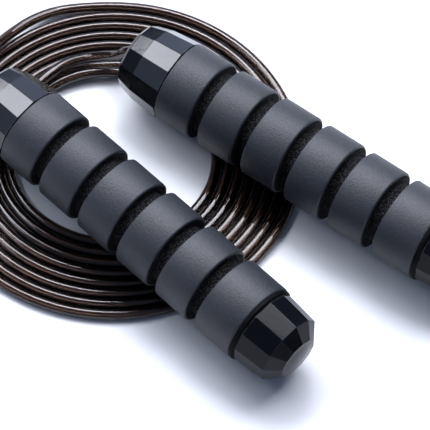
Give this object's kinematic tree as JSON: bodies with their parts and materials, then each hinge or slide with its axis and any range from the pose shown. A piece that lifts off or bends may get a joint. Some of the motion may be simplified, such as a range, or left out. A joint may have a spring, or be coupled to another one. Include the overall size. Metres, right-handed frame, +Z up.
{
  "type": "jump rope",
  "caption": "Speed jump rope at rest: a smoky coated wire rope wound in a flat coil, with foam-gripped handles that swivel on ball bearings lying across it.",
  "frame": {"origin": "on the plane the coil lies on, below the middle of the two handles", "axes": "+Z up, out of the plane the coil lies on; +X to the viewer's right along the coil's width, +Y away from the viewer"},
  "size_m": [0.2222, 0.181, 0.043],
  "materials": {
    "coated_rope": "clear smoky plastic sleeve over a twisted steel rope, glossy",
    "grip_foam": "dense closed-cell foam rubber, matte, ring grooves",
    "moulded_black": "moulded nylon, fine matte",
    "gloss_black": "polished moulded plastic, faceted",
    "bearing_steel": "ground bearing steel",
    "ball_steel": "polished balls",
    "cage_steel": "pressed steel strip",
    "turned_steel": "turned, fine rings",
    "spring_steel": "dark spring steel",
    "black_steel": "blackened steel",
    "seal_rubber": "smooth rubber ring"
  },
  "bodies": {
    "rope": {"rope_coil": "coated_rope", "right_lead": "coated_rope", "left_lead": "coated_rope", "left_bearing_inner_race": "bearing_steel", "left_spindle": "turned_steel", "left_spindle_clip": "spring_steel", "left_washer": "turned_steel", "left_stopper": "turned_steel", "left_stopper_screws": "black_steel", "left_rope_tail": "coated_rope", "right_bearing_inner_race": "bearing_steel", "right_spindle": "turned_steel", "right_spindle_clip": "spring_steel", "right_washer": "turned_steel", "right_stopper": "turned_steel", "right_stopper_screws": "black_steel", "right_rope_tail": "coated_rope"},
    "left_handle": {"left_grip_foam": "grip_foam", "left_core_tube": "moulded_black", "left_collar": "gloss_black", "left_bearing_outer_race": "bearing_steel"},
    "left_balls": {"left_bearing_balls": "ball_steel", "left_bearing_cage": "cage_steel"},
    "left_cap": {"left_butt_cap": "gloss_black", "left_cap_seal": "seal_rubber"},
    "right_handle": {"right_grip_foam": "grip_foam", "right_core_tube": "moulded_black", "right_collar": "gloss_black", "right_bearing_outer_race": "bearing_steel"},
    "right_balls": {"right_bearing_balls": "ball_steel", "right_bearing_cage": "cage_steel"},
    "right_cap": {"right_butt_cap": "gloss_black", "right_cap_seal": "seal_rubber"}
  },
  "joints": [
    {"name": "left_swivel", "type": "hinge", "parent": "rope", "child": "left_handle", "pos_m": [-0.0782, 0.0309, 0.0259], "axis": [0.7222, -0.6902, -0.0454], "continuous": true},
    {"name": "left_ball_orbit", "type": "hinge", "parent": "rope", "child": "left_balls", "pos_m": [-0.0782, 0.0309, 0.0259], "axis": [0.7222, -0.6902, -0.0454], "continuous": true},
    {"name": "left_cap_pull", "type": "slide", "parent": "left_handle", "child": "left_cap", "axis": [0.7222, -0.6902, -0.0454], "range_m": [0, 0.02]},
    {"name": "right_swivel", "type": "hinge", "parent": "rope", "child": "right_handle", "pos_m": [-0.02, 0.0545, 0.0218], "axis": [0.8049, -0.5934, 0], "continuous": true},
    {"name": "right_ball_orbit", "type": "hinge", "parent": "rope", "child": "right_balls", "pos_m": [-0.02, 0.0545, 0.0218], "axis": [0.8049, -0.5934, 0], "continuous": true},
    {"name": "right_cap_pull", "type": "slide", "parent": "right_handle", "child": "right_cap", "axis": [0.8049, -0.5934, 0], "range_m": [0, 0.02]}
  ],
  "couplings": [
    {"joint": "left_ball_orbit", "follows": "left_swivel", "ratio": 0.632},
    {"joint": "right_ball_orbit", "follows": "right_swivel", "ratio": 0.632}
  ]
}
